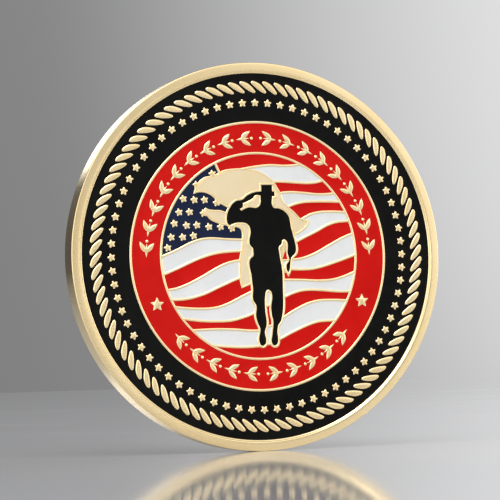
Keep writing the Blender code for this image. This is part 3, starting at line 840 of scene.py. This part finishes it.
HAIRLINES = ((9000.0, 0.5), (7000.0, -0.9))  # scale, and turn on the face in radians
HAIRLINE_STRETCH = (1.0, 1.0, 0.02)
HAIRLINE_START = 0.66  # noise above this is a hairline
HAIRLINE_END = 0.72
BRUSH_STRETCH = (1.0, 0.06, 1.0)  # along the coin's thickness

ENAMELS = {  # two tones, and the specular level
    "black": ((0.003, 0.003, 0.0028), (0.0048, 0.0048, 0.0042), 0.08),
    "red": ((0.53, 0.004, 0.002), (0.59, 0.006, 0.003), 0.12),
    "white": ((0.70, 0.71, 0.70), (0.75, 0.76, 0.75), 0.3),
    "navy": ((0.006, 0.011, 0.034), (0.009, 0.016, 0.046), 0.12),
}
FILL_COLOURS = {
    "border_enamel": "black",
    "band_enamel": "red",
    "soldier_enamel": "black",
    "canton_enamel": "navy",
    "medallion_enamel": "navy",
}


class Surface:
    """Node tree of one procedural material on a Principled BSDF.

    Nodes drive its colour and roughness; the plain roughness is for viewers that don't read them.
    """

    def __init__(self, name, metallic, roughness, **sockets):
        self.material = bpy.data.materials.new(name)
        self.material.use_nodes = True
        self.tree = self.material.node_tree
        self.shader = self.tree.nodes["Principled BSDF"]
        self.shader.inputs["Metallic"].default_value = metallic
        self.shader.inputs["Roughness"].default_value = roughness
        for socket, value in sockets.items():
            self.shader.inputs[socket.replace("_", " ")].default_value = value
        self.place = self.node("ShaderNodeTexCoord").outputs["Object"]

    def node(self, kind, **settings):
        made = self.tree.nodes.new(kind)
        for setting, value in settings.items():
            setattr(made, setting, value)
        return made

    def link(self, source, target):
        self.tree.links.new(source, target)

    def noise(self, scale, detail=3.0, roughness=0.5, stretch=None, turn=0.0):
        """Noise in object space; it can be stretched along the axes and turned on the face."""
        noise = self.node("ShaderNodeTexNoise")
        noise.inputs["Scale"].default_value = scale
        noise.inputs["Detail"].default_value = detail
        noise.inputs["Roughness"].default_value = roughness
        source = self.place
        if stretch is not None:
            mapping = self.node("ShaderNodeMapping")
            mapping.inputs["Rotation"].default_value = (0.0, turn, 0.0)
            mapping.inputs["Scale"].default_value = stretch
            self.link(source, mapping.inputs["Vector"])
            source = mapping.outputs["Vector"]
        self.link(source, noise.inputs["Vector"])
        return noise.outputs["Fac"]

    def between(self, value, low, high, start=0.3, end=0.7):
        """Value that goes from low to high while the given one goes from start to end."""
        spread = self.node("ShaderNodeMapRange")
        spread.inputs["From Min"].default_value = start
        spread.inputs["From Max"].default_value = end
        spread.inputs["To Min"].default_value = low
        spread.inputs["To Max"].default_value = high
        self.link(value, spread.inputs["Value"])
        return spread.outputs["Result"]

    def colours(self, value, first, second, start=0.3, end=0.7):
        """Colour that goes from the first to the second while a value goes from start to end."""
        ramp = self.node("ShaderNodeValToRGB")
        ramp.color_ramp.elements[0].position = start
        ramp.color_ramp.elements[0].color = (*first, 1.0)
        ramp.color_ramp.elements[1].position = end
        ramp.color_ramp.elements[1].color = (*second, 1.0)
        self.link(value, ramp.inputs["Fac"])
        return ramp.outputs["Color"]

    def combine(self, operation, first, second):
        """Value from a maths operation on a value and on another value or a plain number."""
        made = self.node("ShaderNodeMath", operation=operation)
        self.link(first, made.inputs[0])
        if isinstance(second, float):
            made.inputs[1].default_value = second
        else:
            self.link(second, made.inputs[1])
        return made.outputs["Value"]

    def bump(self, height, depth, below=None):
        """Bump whose depth is in metres; it lies on another bump if one is given."""
        made = self.node("ShaderNodeBump")
        made.inputs["Strength"].default_value = 1.0
        made.inputs["Distance"].default_value = depth
        self.link(height, made.inputs["Height"])
        if below is not None:
            self.link(below, made.inputs["Normal"])
        return made.outputs["Normal"]

    def finish(self, colour, roughness, normal=None):
        self.link(colour, self.shader.inputs["Base Color"])
        self.link(roughness, self.shader.inputs["Roughness"])
        if normal is not None:
            self.link(normal, self.shader.inputs["Normal"])
        return self.material


def polished_gold():
    """Bright plating with faint tone shifts, haze, hairline scratches and a fine ripple."""
    surface = Surface("gold_polished", 1.0, 0.22)
    colour = surface.colours(surface.noise(TONE_SCALE), GOLD_DEEP, GOLD_PALE)
    scratches = []
    for scale, turn in HAIRLINES:
        noise = surface.noise(scale, 2.0, stretch=HAIRLINE_STRETCH, turn=turn)
        scratches.append(surface.between(noise, 0.0, 1.0, HAIRLINE_START, HAIRLINE_END))
    hairlines = surface.combine("MAXIMUM", *scratches)
    haze = surface.between(surface.noise(HAZE_SCALE, 4.0), *POLISHED_ROUGHNESS)
    worn = surface.combine("MULTIPLY", hairlines, HAIRLINE_ROUGHNESS)
    roughness = surface.combine("ADD", haze, worn)
    ripple = surface.bump(surface.noise(RIPPLE_SCALE, 2.0), RIPPLE_DEPTH)
    return surface.finish(colour, roughness, surface.bump(hairlines, HAIRLINE_DEPTH, ripple))


def grained_gold(name, deep, pale, roughness_range):
    """Sand-blasted ground, even and finely grained."""
    surface = Surface(name, 1.0, roughness_range[0])
    colour = surface.colours(surface.noise(RIPPLE_SCALE), deep, pale, 0.1, 0.6)
    grain = surface.noise(GRAIN_SCALE, 2.0, 0.6)
    roughness = surface.between(grain, *roughness_range)
    return surface.finish(colour, roughness, surface.bump(grain, GRAIN_DEPTH))


def edge_gold():
    """Rim and edge: bright plating with faint brush marks along the coin's thickness."""
    surface = Surface("gold_edge", 1.0, 0.2)
    colour = surface.colours(surface.noise(EDGE_TONE_SCALE), GOLD_DEEP, GOLD_PALE)
    brush = surface.noise(BRUSH_SCALE, 3.0, 0.6, BRUSH_STRETCH)
    roughness = surface.between(brush, *EDGE_ROUGHNESS)
    return surface.finish(colour, roughness, surface.bump(brush, BRUSH_DEPTH))


def enamel(name, first, second, specular):
    """Cured soft enamel: glossy, with slight pooling of the colour and a soft uneven surface."""
    surface = Surface(name, 0.0, 0.2, Specular_IOR_Level=specular)
    colour = surface.colours(surface.noise(POOLING_SCALE), first, second, 0.35, 0.65)
    roughness = surface.between(surface.noise(GLOSS_SCALE), *ENAMEL_ROUGHNESS)
    waves = surface.bump(surface.noise(RIPPLE_SCALE, 2.0), POOLING_DEPTH)
    skin = surface.bump(surface.noise(SKIN_SCALE, 2.0), SKIN_DEPTH, waves)
    return surface.finish(colour, roughness, skin)


def colour_of(node):
    """Colour of an enamel node; a stripe's is the third word of its name."""
    return FILL_COLOURS.get(node) or node.split("_")[2]


# ---------------------------------------------------------------- coin

OBVERSE_HEIGHTS = {RELIEF: RELIEF_HEIGHT, RECESS: RECESS_HEIGHT, "enamel": ENAMEL_HEIGHT}
REVERSE_HEIGHTS = {
    RELIEF: REVERSE_RELIEF_HEIGHT,
    RECESS: REVERSE_FIELD_HEIGHT,
    "enamel": REVERSE_ENAMEL_HEIGHT,
}


def make_coin():
    """The plated body with both faces, and a fill for each enamel node."""
    enamels = {name: enamel(f"enamel_{name}", *look) for name, look in ENAMELS.items()}
    front = Face(obverse_drawing(), RIM_INNER_RADIUS, OBVERSE_HEIGHTS, FLOOR_HEIGHT)
    back = Face(reverse_drawing(), RIM_INNER_RADIUS, REVERSE_HEIGHTS, REVERSE_FLOOR_HEIGHT)
    polished, grounds = [], []
    for face, place in ((front, OBVERSE), (back, REVERSE)):
        bright, ground = face.metal()
        polished.append(placed(bright, place))
        grounds.append(placed(ground, place))
        for node in face.enamels():
            fill = placed(face.fill(node), place)
            colour = colour_of(node)
            build(f"{node}_fill", [fill], [enamels[colour]], node)
    groups = [np.concatenate(polished), *grounds, turned(rim_profile())]
    satin = grained_gold("gold_satin", GOLD_DEEP, SATIN_PALE, SATIN_ROUGHNESS)
    blasted = grained_gold("gold_blasted", BLASTED_DEEP, BLASTED_PALE, BLASTED_ROUGHNESS)
    golds = [polished_gold(), satin, blasted, edge_gold()]
    build("plated_body", groups, golds, "struck_body")


# ---------------------------------------------------------------- stage, lights and camera

# Directions are an azimuth and an elevation in degrees; azimuth 0 is in front of the coin and 90 is
# to its right.
BRIGHT_SIDE = (59.0, 13.0)  # where the studio's walls are brightest
BRIGHT_SIDE_LIGHT = 0.66
DARK_SIDE_LIGHT = 0.05
STUDIO_TINT = (0.99, 0.99, 1.0, 1.0)

# Azimuth, elevation, half-widths of the even core and of the whole glow, and power. The last one is
# a dark card, low in front, so its power is negative.
LAMPS = [
    (48.0, 16.0, 18.0, 33.0, 0.5),
    (92.0, 12.0, 12.0, 24.0, 1.6),
    (-32.0, 50.0, 14.0, 30.0, 3.0),
    (-26.0, 4.0, 14.0, 27.0, 1.1),
    (178.0, 21.0, 5.0, 11.0, 3.2),
    (138.0, 10.0, 8.0, 28.0, 0.5),
    (-62.0, 4.0, 16.0, 34.0, 0.9),
    (10.0, 46.0, 14.0, 32.0, 0.7),
    (15.0, 2.0, 2.5, 6.0, 0.85),
    (20.5, -2.0, 3.0, 8.0, -0.75),
]

FLOOR_SIZE = 6.0  # metres
STONE_TONES = ((0.66, 0.67, 0.68), (0.72, 0.73, 0.74))
STONE_TONE_SCALE = 3.0
STONE_GLOSS_SCALE = 12.0

CAMERA_AZIMUTH = -19.322
CAMERA_ELEVATION = -3.266  # the lens is a little below the coin's middle
CAMERA_ROLL = -1.78
CAMERA_DISTANCE = 259.04
CAMERA_AIM = (-1.20, -1.45, 22.89)
CAMERA_CLIP = 0.01  # metres
LENS = 163.6


def make_stage():
    """Plain pale floor of polished stone."""
    bpy.ops.mesh.primitive_plane_add(size=FLOOR_SIZE)
    floor = bpy.context.object
    floor.name = "floor"
    surface = Surface("pale_floor", 0.0, 0.06)
    colour = surface.colours(surface.noise(STONE_TONE_SCALE, 2.0), *STONE_TONES)
    roughness = surface.between(surface.noise(STONE_GLOSS_SCALE, 2.0), *STONE_ROUGHNESS)
    floor.data.materials.append(surface.finish(colour, roughness))


def direction(azimuth, elevation):
    """Unit vector away from the coin."""
    turn = math.radians(azimuth)
    rise = math.radians(elevation)
    level = math.cos(rise)
    return Vector((math.sin(turn) * level, -math.cos(turn) * level, math.sin(rise)))


def glow(tree, place, towards, start, end, low, high):
    """Light that goes from low to high as a direction turns towards the given one.

    The start and end are the cosines of its angle to that one.
    """
    along = tree.nodes.new("ShaderNodeVectorMath")
    along.operation = "DOT_PRODUCT"
    along.inputs[1].default_value = towards
    spread = tree.nodes.new("ShaderNodeMapRange")
    spread.interpolation_type = "SMOOTHSTEP"
    spread.inputs["From Min"].default_value = start
    spread.inputs["From Max"].default_value = end
    spread.inputs["To Min"].default_value = low
    spread.inputs["To Max"].default_value = high
    tree.links.new(place, along.inputs[0])
    tree.links.new(along.outputs["Value"], spread.inputs["Value"])
    return spread.outputs["Result"]


def make_studio():
    """Walls of light all round, brighter on one side, with a few soft lamps and a dark card."""
    world = bpy.data.worlds.new("studio")
    world.use_nodes = True
    tree = world.node_tree
    place = tree.nodes.new("ShaderNodeTexCoord").outputs["Generated"]
    total = glow(tree, place, direction(*BRIGHT_SIDE), -1.0, 1.0, DARK_SIDE_LIGHT, BRIGHT_SIDE_LIGHT)
    for azimuth, elevation, core, reach, power in LAMPS:
        start = math.cos(math.radians(reach))
        end = math.cos(math.radians(core))
        lamp = glow(tree, place, direction(azimuth, elevation), start, end, 0.0, power)
        add = tree.nodes.new("ShaderNodeMath")
        tree.links.new(total, add.inputs[0])
        tree.links.new(lamp, add.inputs[1])
        total = add.outputs["Value"]
    background = tree.nodes["Background"]
    background.inputs["Color"].default_value = STUDIO_TINT
    tree.links.new(total, background.inputs["Strength"])
    bpy.context.scene.world = world
    bpy.context.scene.view_settings.view_transform = "Standard"


def make_camera():
    """Camera where the photo was taken from."""
    back = direction(CAMERA_AZIMUTH, CAMERA_ELEVATION)
    camera = bpy.data.objects.new("camera", bpy.data.cameras.new("camera"))
    camera.data.lens = LENS
    camera.data.clip_start = CAMERA_CLIP
    camera.location = Vector(CAMERA_AIM) * MM + back * CAMERA_DISTANCE * MM
    level = back.to_track_quat("Z", "Y").to_matrix()
    camera.rotation_euler = (level @ Matrix.Rotation(math.radians(CAMERA_ROLL), 3, "Z")).to_euler()
    bpy.context.scene.collection.objects.link(camera)
    bpy.context.scene.camera = camera


make_coin()
make_stage()
make_studio()
make_camera()
